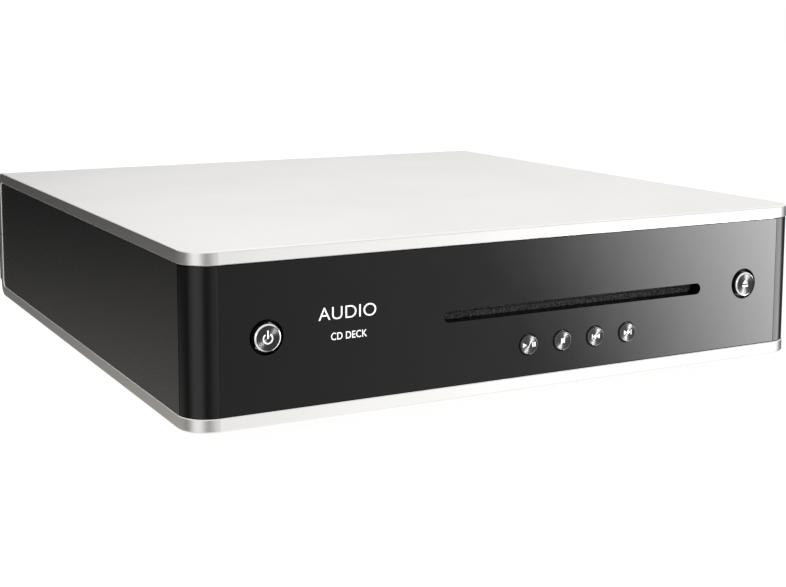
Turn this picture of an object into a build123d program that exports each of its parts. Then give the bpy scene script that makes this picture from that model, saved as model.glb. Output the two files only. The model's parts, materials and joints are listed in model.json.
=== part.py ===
"""Slot-loading compact disc player for a desk or shelf, in millimetres.

A low square case: two silver half shells make a C seen from the side, with a black panel on each
side, a black front with rounded corners between the shells, and a glossy face plate let into it.
Behind the slot, a rubber roller draws the disc in over a tilting deck with a turntable and a
pickup. Each physical piece is written as one STEP file. X is the width, the front faces -Y, and
Z is up, with the origin on the surface that the feet stand on.
"""
import math
import os

from build123d import *

# ---- driving dimensions -------------------------------------------------------------------------
BODY_WIDTH = 280.0
BODY_DEPTH = 288.0
BODY_HEIGHT = 64.5
FOOT_HEIGHT = 8.0
BAND = 5.0  # visible thickness of the silver shells, seen from the front and the side
SKIN = 2.0  # wall left under the hollow of each shell
RIM = 6.0  # width of the solid rim round that hollow
CORNER_RADIUS = 11.7  # front corners, seen from above
REAR_RADIUS = 7.0  # rear corners, seen from the side
EDGE_RADIUS = 0.6
INSET = 0.3  # black parts stand this far inside the silver ones, and leave the same gap
SEAM_SETBACK = 10.2  # the front moulding ends this far back along each side
SEAM_GAP = 0.35
BUTTON_PROUD = 1.1
REAR_PANEL_PROUD = 5.0
JACK_LENGTH = 9.0

SLOT_WIDTH = 124.5
SLOT_HEIGHT = 4.7
SLOT_X = 24.6  # the slot, the loader and the four small buttons share this centre
SLOT_DEPTH = 6.7  # from the silver front plane to the felt seals

# ---- places worked out from them ------------------------------------------------------------------
FRONT = BUTTON_PROUD - (BUTTON_PROUD + BODY_DEPTH + REAR_PANEL_PROUD + JACK_LENGTH) / 2
BACK = FRONT + BODY_DEPTH
BOTTOM = FOOT_HEIGHT
TOP = BOTTOM + BODY_HEIGHT
MIDDLE = (BOTTOM + TOP) / 2
HALF_WIDTH = BODY_WIDTH / 2
LOW = BOTTOM + BAND  # the black band runs from LOW to HIGH
HIGH = TOP - BAND
LOADER_X = SLOT_X
FIT = 0.05  # running clearance on a radius
SHEET = 1.2  # pressed steel sheet


# ---- helpers ----------------------------------------------------------------------------------------
def depth(distance):
    """The Y coordinate of a point this far behind the silver front plane."""
    return FRONT + distance


def block(x, y, z):
    """A box between the two values given for each axis."""
    size = [abs(b - a) for a, b in (x, y, z)]
    middle = [(a + b) / 2 for a, b in (x, y, z)]
    return Pos(*middle) * Box(*size)


def rod_x(radius, x, y, z):
    """A cylinder along X between the two x values."""
    return Pos((x[0] + x[1]) / 2, y, z) * Rot(0, 90, 0) * Cylinder(radius, abs(x[1] - x[0]))


def rod_y(radius, x, y, z):
    """A cylinder along Y between the two y values."""
    return Pos(x, (y[0] + y[1]) / 2, z) * Rot(90, 0, 0) * Cylinder(radius, abs(y[1] - y[0]))


def rod_z(radius, x, y, z):
    """A cylinder along Z between the two z values."""
    return Pos(x, y, (z[0] + z[1]) / 2) * Cylinder(radius, abs(z[1] - z[0]))


def turned(profile, x, y, z, axis="z"):
    """A solid of revolution at a point. profile lists (radius, height along the axis) points."""
    face = make_face(Polyline([(r, 0, h) for r, h in profile], close=True))
    solid = revolve(face, Axis.Z, 360)
    turn = {"z": Rot(0, 0, 0), "x": Rot(0, 90, 0), "y": Rot(-90, 0, 0)}[axis]
    return Pos(x, y, z) * turn * solid


def plan_prism(inset, radius, z, back=0.0):
    """The case's outline seen from above, drawn inset and with rounded front corners, as a prism."""
    width = BODY_WIDTH - 2 * inset
    length = BODY_DEPTH - inset - back
    outline = Pos(0, (FRONT + inset + BACK - back) / 2) * Rectangle(width, length)
    outline = fillet(outline.vertices().group_by(Axis.Y)[0], radius)
    return Pos(0, 0, z[0]) * extrude(outline, z[1] - z[0])


def stadium(width, height, x, y, z):
    """A slot with full round ends that runs through along Y."""
    face = Plane.XZ * SlotOverall(width, height)
    return Pos(x, (y[0] + y[1]) / 2, z) * extrude(face, abs(y[1] - y[0]) / 2, both=True)


def side_profile(y, z, rear_radius, x):
    """A rectangle seen from the side, with rounded rear corners, as a prism between two x values."""
    face = Pos((y[0] + y[1]) / 2, (z[0] + z[1]) / 2) * Rectangle(y[1] - y[0], z[1] - z[0])
    face = fillet(face.vertices().group_by(Axis.X)[-1], rear_radius)
    return Pos(x[0], 0, 0) * extrude(Plane.YZ * face, x[1] - x[0])


def screw(x, y, z, head_radius, head, shank_radius, shank, direction="z"):
    """A pan-head screw whose head sits on the point given and whose shank runs the other way."""
    sign = -1 if direction.startswith("-") else 1
    profile = [(0, -shank), (shank_radius, -shank), (shank_radius, 0), (head_radius, 0)]
    profile += [(head_radius, head * 0.55), (head_radius * 0.75, head), (0, head)]
    solid = turned([(r, sign * h) for r, h in profile], x, y, z, direction.strip("-"))
    if direction.strip("-") == "z":
        cross = block((x - 1.8, x + 1.8), (y - 0.4, y + 0.4), (z + sign * head * 0.5, z + sign * head))
        cross += block((x - 0.4, x + 0.4), (y - 1.8, y + 1.8), (z + sign * head * 0.5, z + sign * head))
    else:
        cross = block((x - 1.8, x + 1.8), (y + sign * head * 0.5, y + sign * head), (z - 0.4, z + 0.4))
        cross += block((x - 0.4, x + 0.4), (y + sign * head * 0.5, y + sign * head), (z - 1.8, z + 1.8))
    return solid - cross


def save(name, *solids):
    """Writes the solids of one node."""
    shape = solids[0] if len(solids) == 1 else Compound(children=list(solids))
    export_step(shape, os.path.join("parts", name + ".step"))


# ---- case -------------------------------------------------------------------------------------------
INNER_RADIUS = 3.0  # rear corners of the opening that a side panel fills
REAR_OPENING_X = 126.0
REAR_OPENING_Z = (18.0, 62.5)
FOOT_X = 98.0
FOOT_Y = (depth(46.0), depth(BODY_DEPTH - 40.0))
FOOT_RADIUS = 12.0
TRAY_Z = (LOW, LOW + SHEET)
REAR_SCREW_X = (-132.0, 132.0)
REAR_SCREW_Z = (MIDDLE - 21.0, MIDDLE + 21.0)
VENT_COUNT = 9
VENT_PITCH = 12.0
VENT = (3.0, 34.0)


def case_ring():
    """Both half shells as one C-section body, with softened outer edges."""
    outer = side_profile((FRONT, BACK), (BOTTOM, TOP), REAR_RADIUS, (-HALF_WIDTH, HALF_WIDTH))
    inner = side_profile((FRONT - 5, BACK - BAND), (LOW, HIGH), INNER_RADIUS,
                         (-HALF_WIDTH - 5, HALF_WIDTH + 5))
    ring = (outer & plan_prism(0.0, CORNER_RADIUS, (BOTTOM, TOP))) - inner
    return soften(ring)


def soften(ring):
    """Rounds the outline of the top and bottom faces and eases the lips that meet the black band."""
    def on_flat(edge, level):
        box = edge.bounding_box()
        return abs(box.min.Z - level) < 1e-3 and abs(box.max.Z - level) < 1e-3

    def on_side(edge):
        box = edge.bounding_box()
        on_left = abs(box.min.X + HALF_WIDTH) < 1e-3 and abs(box.max.X + HALF_WIDTH) < 1e-3
        on_right = abs(box.min.X - HALF_WIDTH) < 1e-3 and abs(box.max.X - HALF_WIDTH) < 1e-3
        return on_left or on_right

    def is_rear_line(edge):
        box = edge.bounding_box()
        return box.max.X - box.min.X > BODY_WIDTH - 1 and box.min.Y > 0

    outer = [e for e in ring.edges() if (on_flat(e, TOP) or on_flat(e, BOTTOM)) and not is_rear_line(e)]
    outer += [e for e in ring.edges() if on_side(e) and e.bounding_box().max.Y > BACK - BAND + 1
              and e not in outer]
    ring = fillet(outer, EDGE_RADIUS)
    lips = [e for e in ring.edges() if (on_flat(e, LOW) or on_flat(e, HIGH)) and not is_rear_line(e)]
    return chamfer(lips, EDGE_RADIUS / 2)


def half_shells():
    ring = case_ring()
    hollow_y = (FRONT + RIM, BACK - RIM)
    hollow_x = (-HALF_WIDTH + RIM, HALF_WIDTH - RIM)
    ring -= block(hollow_x, hollow_y, (HIGH - 1, TOP - SKIN))
    ring -= block(hollow_x, hollow_y, (BOTTOM + SKIN, LOW + 1))
    ring -= block((-REAR_OPENING_X, REAR_OPENING_X), (BACK - BAND - 1, BACK + 1), REAR_OPENING_Z)
    for x in REAR_SCREW_X:
        for z in REAR_SCREW_Z:
            ring -= rod_y(1.5, x, (BACK - BAND - 1, BACK + 1), z)
    wide = HALF_WIDTH + 5
    gap = 0.1
    upper = ring & block((-wide, wide), (FRONT - 5, BACK + 5), (MIDDLE + gap, TOP + 5))
    lower = ring & block((-wide, wide), (FRONT - 5, BACK + 5), (BOTTOM - 5, MIDDLE - gap))
    for x in (-FOOT_X, FOOT_X):
        for y in FOOT_Y:
            lower += rod_z(6.0, x, y, (BOTTOM + SKIN, LOW))
            lower -= rod_z(2.1, x, y, (BOTTOM - 1, LOW + 1))
    for i in range(VENT_COUNT):
        x = (i - (VENT_COUNT - 1) / 2) * VENT_PITCH
        for y in (depth(110.0), depth(190.0)):
            lower -= block((x - VENT[0] / 2, x + VENT[0] / 2), (y - VENT[1] / 2, y + VENT[1] / 2),
                           (BOTTOM - 1, BOTTOM + SKIN + 1))
    return upper, lower


def side_panel(sign):
    """Sheet panel with inward flanges that lie on the rims of the shells."""
    thick = 2.0
    outer = sign * (HALF_WIDTH - INSET)
    y = (depth(SEAM_SETBACK + SEAM_GAP), BACK - BAND - INSET)
    x = sorted((outer, outer - sign * thick))
    panel = side_profile(y, (LOW + INSET, HIGH - INSET), INNER_RADIUS - INSET, x)
    flange_x = sorted((outer - sign * (thick - 0.5), outer - sign * 9.0))
    for low in (LOW, HIGH - 1.5):
        panel += block(flange_x, (y[0] + 10.0, y[1] - 8.0), (low, low + 1.5))
    return panel


def rear_panel():
    """Pressed steel pan that closes the rear opening and stands proud of the shells."""
    x = (-HALF_WIDTH + 0.6, HALF_WIDTH - 0.6)
    z = (TOP - 58.6, TOP - 7.9)
    y = (BACK, BACK + REAR_PANEL_PROUD)
    outline = Pos(0, (z[0] + z[1]) / 2) * RectangleRounded(x[1] - x[0], z[1] - z[0], 2.0)
    pan = Pos(0, y[1], 0) * extrude(Plane.XZ * outline, y[1] - y[0])
    inside = Pos(0, (z[0] + z[1]) / 2) * RectangleRounded(x[1] - x[0] - 2 * SHEET, z[1] - z[0] - 2 * SHEET, 1)
    pan -= Pos(0, y[1] - SHEET, 0) * extrude(Plane.XZ * inside, y[1] - y[0])
    for sx in REAR_SCREW_X:
        for sz in REAR_SCREW_Z:
            pan += rod_y(3.4, sx, (y[0], y[1] - SHEET), sz)
            pan -= rod_y(1.7, sx, (y[0] - 1, y[1] + 1), sz)
    wall = (y[0] - 1, y[1] + 1)
    for jack_x in (*ANALOG_X, COAX_X):
        pan -= rod_y(JACK_FLANGE_RADIUS + 0.2, jack_x, wall, JACK_Z)
    pan -= block((INLET_X - INLET_HALF[0] - 0.2, INLET_X + INLET_HALF[0] + 0.2), wall,
                 (JACK_Z - INLET_HALF[1] - 0.2, JACK_Z + INLET_HALF[1] + 0.2))
    return pan


def chassis_tray():
    """Inner steel tray with posts for the loader and the two boards."""
    x = (-127.0, 127.0)
    y = (depth(17.0), depth(278.0))
    tray = block(x, y, TRAY_Z)
    for edge in (x[0], x[1] - SHEET):
        tray += block((edge, edge + SHEET), y, (TRAY_Z[0], TRAY_Z[1] + 8.0))
    for px, py in LOADER_POSTS:
        tray += rod_z(4.5, px, py, (TRAY_Z[1], DAMPER_Z[0]))
        tray += rod_z(2.5, px, py, (DAMPER_Z[0], POST_TOP))
        tray -= rod_z(1.5, px, py, (POST_TOP - 9.0, POST_TOP + 1))
    for px, py in BOARD_POSTS:
        tray += rod_z(3.0, px, py, (TRAY_Z[1], BOARD_Z[0]))
        tray -= rod_z(1.5, px, py, (TRAY_Z[1] - 3, BOARD_Z[0] + 1))
    for fx in (-FOOT_X, FOOT_X):
        for fy in FOOT_Y:
            tray -= rod_z(1.6, fx, fy, (TRAY_Z[0] - 1, TRAY_Z[1] + 1))
    return tray


def feet():
    """Four rubber feet with a well for the screw."""
    profile = [(2.2, 3.0), (5.0, 3.0), (5.0, 0.0), (FOOT_RADIUS - 1.0, 0.0), (FOOT_RADIUS, 1.2)]
    profile += [(FOOT_RADIUS - 0.8, FOOT_HEIGHT), (2.2, FOOT_HEIGHT)]
    return [turned(profile, x, y, 0.0) for x in (-FOOT_X, FOOT_X) for y in FOOT_Y]


def foot_screws():
    """Each one holds a foot, the lower shell and the tray together."""
    return [screw(x, y, 2.9, 3.8, 2.0, 1.5, TRAY_Z[1] + 1.5 - 2.9, "-z")
            for x in (-FOOT_X, FOOT_X) for y in FOOT_Y]


# ---- front ------------------------------------------------------------------------------------------
FASCIA_WALL = 3.0
GLASS = 1.5
GLASS_HALF = HALF_WIDTH - CORNER_RADIUS
BIG_BUTTON_X = 110.4
SMALL_PITCH = 16.0
SMALL_Z = BOTTOM + 17.6
BIG_CAP, BIG_HOLE = 5.05, 6.35
SMALL_CAP, SMALL_HOLE = 3.9, 4.4
BIG_TRAVEL, SMALL_TRAVEL = 1.0, 0.8
SWITCH_FRONT = 10.4
BOARD_DEPTH = (14.0, 15.6)  # the front board, behind the silver front plane
BOSS_X, BOSS_Z = (-90.0, -30.0, 84.0), LOW + 9.0

BUTTONS = {
    "power_button": (-BIG_BUTTON_X, MIDDLE, BIG_CAP, BIG_HOLE, BUTTON_PROUD),
    "play_pause_button": (SLOT_X - 1.5 * SMALL_PITCH, SMALL_Z, SMALL_CAP, SMALL_HOLE, 0.7),
    "stop_button": (SLOT_X - 0.5 * SMALL_PITCH, SMALL_Z, SMALL_CAP, SMALL_HOLE, 0.7),
    "previous_button": (SLOT_X + 0.5 * SMALL_PITCH, SMALL_Z, SMALL_CAP, SMALL_HOLE, 0.7),
    "next_button": (SLOT_X + 1.5 * SMALL_PITCH, SMALL_Z, SMALL_CAP, SMALL_HOLE, 0.7),
    "eject_button": (BIG_BUTTON_X, MIDDLE, BIG_CAP, BIG_HOLE, BUTTON_PROUD),
}


def slot_cut(first, last):
    return stadium(SLOT_WIDTH, SLOT_HEIGHT, SLOT_X, (depth(first), depth(last)), MIDDLE)


def front_fascia():
    """Moulded front with rounded corners. The face plate lies in its shallow recess."""
    z = (LOW + INSET, HIGH - INSET)
    outer = plan_prism(INSET, CORNER_RADIUS - INSET, z)
    wall = INSET + FASCIA_WALL
    outer -= plan_prism(wall, CORNER_RADIUS - wall, (z[0] - 1, z[1] + 1), back=-5.0)
    wide = HALF_WIDTH + 5
    fascia = outer & block((-wide, wide), (FRONT - 5, depth(SEAM_SETBACK)), z)
    fascia += block((SLOT_X - SLOT_WIDTH / 2 - 4, SLOT_X + SLOT_WIDTH / 2 + 4),
                    (depth(wall), depth(SLOT_DEPTH)), (MIDDLE - 6, MIDDLE + 6))
    for low in (LOW, HIGH - 2.0):
        for side in (-1, 1):
            inner_x = side * (HALF_WIDTH - wall + 0.5)
            fascia += block(sorted((inner_x, inner_x - side * 6)), (depth(8.0), depth(SEAM_SETBACK)),
                            (low, low + 2.0))
        fascia += block((-GLASS_HALF, GLASS_HALF), (depth(wall - 0.5), depth(wall + 1.5)), (low, low + 2.0))
    for x in BOSS_X:
        fascia += rod_y(3.0, x, (depth(wall - 0.5), depth(BOARD_DEPTH[0])), BOSS_Z)
    fascia -= block((-GLASS_HALF, GLASS_HALF), (FRONT - 1, depth(INSET + GLASS)), (LOW, HIGH))
    fascia -= slot_cut(-1.0, SLOT_DEPTH + 1)
    for x, bz, cap, _, _ in BUTTONS.values():
        fascia -= rod_y(cap + 0.2, x, (FRONT - 1, depth(wall + 1)), bz)
    fascia -= rod_y(3.0, IR_X, (FRONT - 1, depth(wall + 1)), IR_Z)
    return fascia


def front_glass():
    """Glossy dark face plate, flush with the moulded corners."""
    gap = 0.08
    plate = block((-GLASS_HALF + gap, GLASS_HALF - gap), (depth(INSET), depth(INSET + GLASS - 0.02)),
                  (LOW + INSET, HIGH - INSET))
    upright = [e for e in plate.edges().filter_by(Axis.Z) if e.center().Y < depth(INSET + 0.1)]
    plate = chamfer(upright, 0.12)
    plate -= slot_cut(-1.0, SLOT_DEPTH)
    for x, z, _, hole, _ in BUTTONS.values():
        plate -= rod_y(hole, x, (FRONT - 1, depth(SLOT_DEPTH)), z)
    rims = [e for e in plate.edges().filter_by(GeomType.CIRCLE)
            if abs(e.radius - BIG_HOLE) < 0.01 and e.center().Y < depth(INSET + 0.1)]
    return chamfer(rims, 0.2)


def button(x, z, cap, proud):
    """Turned metal cap with a raised rim and a dished face, on a stem that reaches its switch."""
    dish = 0.18
    rim = 0.55
    face = -proud
    flange = INSET + FASCIA_WALL + 0.2
    edge = 0.5 if cap > 4.5 else 0.3
    profile = [(0, face + dish), (cap - rim - 0.15, face + dish), (cap - rim, face), (cap - edge, face)]
    profile += [(cap, face + edge), (cap, flange), (cap + 0.9, flange), (cap + 0.9, flange + 1.2)]
    profile += [(2.0, flange + 1.2), (2.0, SWITCH_FRONT - 1.2), (1.5, SWITCH_FRONT - 1.2)]
    profile += [(1.5, SWITCH_FRONT + 1.0), (0, SWITCH_FRONT + 1.0)]
    return turned(profile, x, FRONT, z, "y")


def slot_seals():
    """Two felt strips behind the slot, nearly touching at the disc's level."""
    half = SLOT_WIDTH / 2 + 2
    y = (depth(SLOT_DEPTH), depth(SLOT_DEPTH + 2.0))
    slit = 0.25
    return [block((SLOT_X - half, SLOT_X + half), y, (MIDDLE + slit, MIDDLE + 5.5)),
            block((SLOT_X - half, SLOT_X + half), y, (MIDDLE - 5.5, MIDDLE - slit))]


IR_X, IR_Z = -80.0, MIDDLE


def front_board():
    """One circuit board: a strip under the slot with an ear behind each large button."""
    y = (depth(BOARD_DEPTH[0]), depth(BOARD_DEPTH[1]))
    board = block((-125.0, 125.0), y, (LOW + 4.0, MIDDLE - 7.0))
    board += block((-125.0, -68.0), y, (MIDDLE - 8.0, MIDDLE + 14.0))
    board += block((100.0, 125.0), y, (MIDDLE - 8.0, MIDDLE + 14.0))
    return board


def tact_switches():
    """Six switches on the front board. Each is open at the front for its button's tip."""
    found = []
    for x, z, _, _, _ in BUTTONS.values():
        body = block((x - 3, x + 3), (depth(SWITCH_FRONT), depth(BOARD_DEPTH[0])), (z - 3, z + 3))
        found.append(body - rod_y(1.7, x, (depth(SWITCH_FRONT - 1), depth(SWITCH_FRONT + 2.3)), z))
    return found


def ir_receiver():
    """Remote control receiver with a round lens, behind its window in the moulding."""
    body = block((IR_X - 3.5, IR_X + 3.5), (depth(8.5), depth(BOARD_DEPTH[0])), (IR_Z - 4, IR_Z + 4))
    return body + rod_y(2.4, IR_X, (depth(6.5), depth(8.5)), IR_Z)


# ---- loader -----------------------------------------------------------------------------------------
DAMPER_Z = (17.0, 24.0)
TAB_Z = (20.0, 21.2)
POST_TOP = 24.4
BOARD_Z = (20.0, 21.6)
LOADER_HALF = 70.0
LOADER_Y = (depth(17.0), depth(178.0))
FLOOR_Z = (17.0, 18.2)
WALL_TOP = 48.0
LOADER_POSTS = [(LOADER_X - 80.0, depth(36.0)), (LOADER_X - 80.0, depth(160.0)),
                (LOADER_X + 80.0, depth(96.0)), (LOADER_X + 80.0, depth(160.0))]
ROLLER_Y, GEAR_Z = depth(30.0), 35.0
ROLLER_RADIUS = 4.6
SHAFT_RADIUS = 1.5
GEAR_X = (LOADER_X + LOADER_HALF + 1.2, LOADER_X + LOADER_HALF + 5.2)
MODULE = 0.6
ROLLER_TEETH, IDLER_TEETH, PINION_TEETH = 24, 36, 16
IDLER_Y = ROLLER_Y + MODULE * (ROLLER_TEETH + IDLER_TEETH) / 2
PINION_Y = IDLER_Y + MODULE * (IDLER_TEETH + PINION_TEETH) / 2
MOTOR_TAB_X = (LOADER_X + LOADER_HALF + 8.4, LOADER_X + LOADER_HALF + 8.4 + SHEET)

SPINDLE_Y = depth(88.0)
SEAT_Z = 41.4  # the turntable's face with the deck raised
PIVOT_Y, PIVOT_Z = depth(168.0), 28.0
DECK_Z = (30.0, 32.0)
CAM_Y = (depth(54.0), depth(56.0))
CAM_PIN_Z = 30.0
CAM_PIN_X = (LOADER_X - 20.0, LOADER_X + 20.0)
DECK_DROP = 5.0  # how far the turntable sinks
CAM_STROKE = 15.0


def gear(teeth, module, x, y, z, phase, bore):
    """Spur gear along X with involute flanks and a little backlash. phase turns it, in degrees."""
    pitch = module * teeth / 2
    base = pitch * math.cos(math.radians(20))
    tip, root = pitch + 0.9 * module, pitch - 1.2 * module
    backlash = 0.1
    half_tooth = math.pi / (2 * teeth) - backlash / pitch

    def flank_angle(radius):
        """Half the tooth's angular thickness at this radius."""
        def involute(r):
            a = math.acos(min(1.0, base / r))
            return math.tan(a) - a
        return half_tooth + involute(pitch) - involute(max(radius, base))

    radii = [root] + [max(root, base) + (tip - max(root, base)) * k / 3 for k in range(4)]
    points = []
    for i in range(teeth):
        centre = 2 * math.pi * i / teeth + math.radians(phase)
        points += [(r, centre - flank_angle(r)) for r in radii]
        points += [(r, centre + flank_angle(r)) for r in reversed(radii)]
    outline = Polyline([(r * math.cos(a), r * math.sin(a)) for r, a in points], close=True)
    blank = Pos(x[0], y, z) * extrude(Plane.YZ * make_face(outline), x[1] - x[0])
    return blank - rod_x(bore, (x[0] - 1, x[1] + 1), y, z)


def loader_base():
    """Pressed frame: floor with a window, side walls, low front lip, mounting tabs, motor bracket."""
    left, right = LOADER_X - LOADER_HALF, LOADER_X + LOADER_HALF
    base = block((left, right), LOADER_Y, FLOOR_Z)
    base -= block((LOADER_X - 52, LOADER_X + 52), (depth(62.0), depth(174.0)), (FLOOR_Z[0] - 1, FLOOR_Z[1] + 1))
    for x in (left, right - SHEET):
        base += block((x, x + SHEET), LOADER_Y, (FLOOR_Z[0], WALL_TOP))
    base += block((left, right), (LOADER_Y[0], LOADER_Y[0] + SHEET), (FLOOR_Z[0], MIDDLE - 3.0))
    base += block((left, right), (LOADER_Y[1] - SHEET, LOADER_Y[1]), (FLOOR_Z[0], WALL_TOP))
    for x, y in LOADER_POSTS:
        side = 1 if x > LOADER_X else -1
        wall = LOADER_X + side * (LOADER_HALF - SHEET)
        base += block(sorted((wall, x + side * 8)), (y - 8, y + 8), TAB_Z)
        base -= rod_z(4.1, x, y, (TAB_Z[0] - 1, TAB_Z[1] + 1))
    base += block((right - SHEET, MOTOR_TAB_X[1]), (PINION_Y - 13, PINION_Y + 13), FLOOR_Z)
    base += block(MOTOR_TAB_X, (PINION_Y - 13, PINION_Y + 13), (FLOOR_Z[0], WALL_TOP))
    base -= rod_x(3.1, (MOTOR_TAB_X[0] - 1, MOTOR_TAB_X[1] + 1), PINION_Y, GEAR_Z)
    wide = (left - 1, right + 1)
    base -= rod_x(3.0, wide, ROLLER_Y, GEAR_Z)
    base -= rod_x(SHAFT_RADIUS + 0.01, wide, PIVOT_Y, PIVOT_Z)
    base -= rod_x(SHAFT_RADIUS + 0.01, (LOADER_X, right + 1), IDLER_Y, GEAR_Z)
    return base


def loader_top_plate():
    """Steel lid of the loader, with the hole that the clamper hangs in."""
    left, right = LOADER_X - LOADER_HALF, LOADER_X + LOADER_HALF
    plate = block((left, right), LOADER_Y, (WALL_TOP, WALL_TOP + SHEET))
    plate -= rod_z(11.0, LOADER_X, SPINDLE_Y, (WALL_TOP - 1, WALL_TOP + SHEET + 1))
    for x in (LOADER_X - 40, LOADER_X + 40):
        plate -= block((x - 10, x + 10), (depth(120.0), depth(150.0)), (WALL_TOP - 1, WALL_TOP + SHEET + 1))
    return plate


def disc_guide():
    """Low-friction guide over the roller, with a flared mouth and a middle relieved for a raised disc."""
    outline = [(18.6, 44.6), (26.0, 41.2), (34.0, 41.2), (40.0, 43.6), (40.0, WALL_TOP), (18.6, WALL_TOP)]
    face = make_face(Polyline([(depth(y), z) for y, z in outline], close=True))
    half = LOADER_HALF - SHEET
    guide = Pos(LOADER_X - half, 0, 0) * extrude(Plane.YZ * face, 2 * half)
    return guide - block((LOADER_X - 31, LOADER_X + 31), (depth(17.0), depth(41.0)), (40.0, 43.8))


def roller_bushes():
    """Flanged bearing bushes for the roller's shaft, one in each side wall."""
    bore = SHAFT_RADIUS + FIT
    profile = [(bore, -1.0), (4.2, -1.0), (4.2, 0.0), (2.97, 0.0), (2.97, 2.0), (bore, 2.0)]
    right = turned(profile, LOADER_X + LOADER_HALF - SHEET - 0.02, ROLLER_Y, GEAR_Z, "x")
    mirrored = [(r, -h) for r, h in profile]
    left = turned(mirrored, LOADER_X - LOADER_HALF + SHEET + 0.02, ROLLER_Y, GEAR_Z, "x")
    return [left, right]


def loader_pins():
    """Steel pins fixed in the loader's walls: two for the deck's pivot and one for the idler gear."""
    return [rod_x(SHAFT_RADIUS, (LOADER_X - LOADER_HALF, LOADER_X - 41.0), PIVOT_Y, PIVOT_Z),
            rod_x(SHAFT_RADIUS, (LOADER_X + 41.0, LOADER_X + LOADER_HALF), PIVOT_Y, PIVOT_Z),
            rod_x(SHAFT_RADIUS, (LOADER_X + LOADER_HALF - SHEET, GEAR_X[1] + 1.0), IDLER_Y, GEAR_Z)]


def feed_roller_rubber():
    """Waisted rubber sleeve, so that only the disc's edges touch it."""
    half, waist = 60.0, ROLLER_RADIUS - 0.7
    profile = [(SHAFT_RADIUS, -half), (ROLLER_RADIUS, -half), (waist, -4.0), (waist, 4.0),
               (ROLLER_RADIUS, half), (SHAFT_RADIUS, half)]
    return turned(profile, LOADER_X, ROLLER_Y, GEAR_Z, "x")


def loading_motor():
    """Small flat motor on the bracket, with its boss in the bracket's hole."""
    x = MOTOR_TAB_X[1] + 0.02
    can = rod_x(11.8, (x, x + 15.0), PINION_Y, GEAR_Z)
    can = fillet(can.edges().sort_by(Axis.X)[-1], 1.0)
    can += rod_x(2.9, (x - 1.6, x), PINION_Y, GEAR_Z)
    for z in (GEAR_Z - 5, GEAR_Z + 5):
        can += block((x + 15.0, x + 18.0), (PINION_Y - 1, PINION_Y + 1), (z - 0.4, z + 0.4))
    return can - rod_x(1.0 + FIT, (x - 2, x + 12.0), PINION_Y, GEAR_Z)


def motor_pinion():
    """Pinion on the motor's shaft."""
    wheel = gear(PINION_TEETH, MODULE, GEAR_X, PINION_Y, GEAR_Z, 0.0, 0.9)
    return wheel + rod_x(1.0, (GEAR_X[0], MOTOR_TAB_X[1] + 11.0), PINION_Y, GEAR_Z)


def loader_dampers():
    """Rubber grommets between the loader's tabs and the tray's posts."""
    low, high = DAMPER_Z
    profile = [(2.6, low), (6.5, low), (6.5, TAB_Z[0] - 0.1), (4.0, TAB_Z[0] - 0.1), (4.0, TAB_Z[1] + 0.1),
               (6.5, TAB_Z[1] + 0.1), (6.5, high), (2.6, high)]
    return [turned(profile, x, y, 0.0) for x, y in LOADER_POSTS]


def chassis_screws():
    """Identical screws that hold the loader and the two boards to the tray's posts."""
    found = [screw(x, y, POST_TOP + 0.02, 3.4, 2.0, 1.4, 7.0) for x, y in LOADER_POSTS]
    return found + [screw(x, y, BOARD_Z[1] + 0.02, 3.4, 2.0, 1.4, 7.0) for x, y in BOARD_POSTS]


def cam_slider():
    """Sliding plate whose two sloping slots raise and lower the deck's front."""
    half = 44.0
    plate = block((LOADER_X - half, LOADER_X + half), CAM_Y, (FLOOR_Z[1] + 0.2, 34.5))
    drop = deck_drop_at_cam()
    slope = math.degrees(math.atan2(drop, CAM_STROKE))
    length = math.hypot(drop, CAM_STROKE)
    for x in CAM_PIN_X:
        face = Plane.XZ * (Rot(0, 0, slope) * SlotCenterToCenter(length, 2 * (SHAFT_RADIUS + 0.35)))
        slot = extrude(face, 5.0, both=True)
        plate -= Pos(x - CAM_STROKE / 2, CAM_Y[0] + 1.0, CAM_PIN_Z - drop / 2) * slot
    return Pos(CAM_STROKE, 0, 0) * plate


def deck_angle():
    """How far the deck tilts, in radians."""
    return math.asin(DECK_DROP / (PIVOT_Y - SPINDLE_Y))


def deck_drop_at_cam():
    return (PIVOT_Y - (CAM_Y[0] + CAM_Y[1]) / 2) * math.sin(deck_angle())


def lowered(solid):
    """Turns a piece of the deck, drawn level, to where it rests: front end down, ready for a disc."""
    tilt = Rot(math.degrees(deck_angle()), 0, 0)
    return Pos(0, PIVOT_Y, PIVOT_Z) * tilt * Pos(0, -PIVOT_Y, -PIVOT_Z) * solid


# ---- deck -------------------------------------------------------------------------------------------
ROD_X = (LOADER_X - 22.0, LOADER_X + 22.0)
ROD_Z = 26.5
ROD_Y = (depth(102.0), depth(160.0))
SCREW_X, SCREW_Z = LOADER_X + 33.0, 23.6
LENS_Y = SPINDLE_Y + 24.0
SLED_TRAVEL = 34.0


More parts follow.
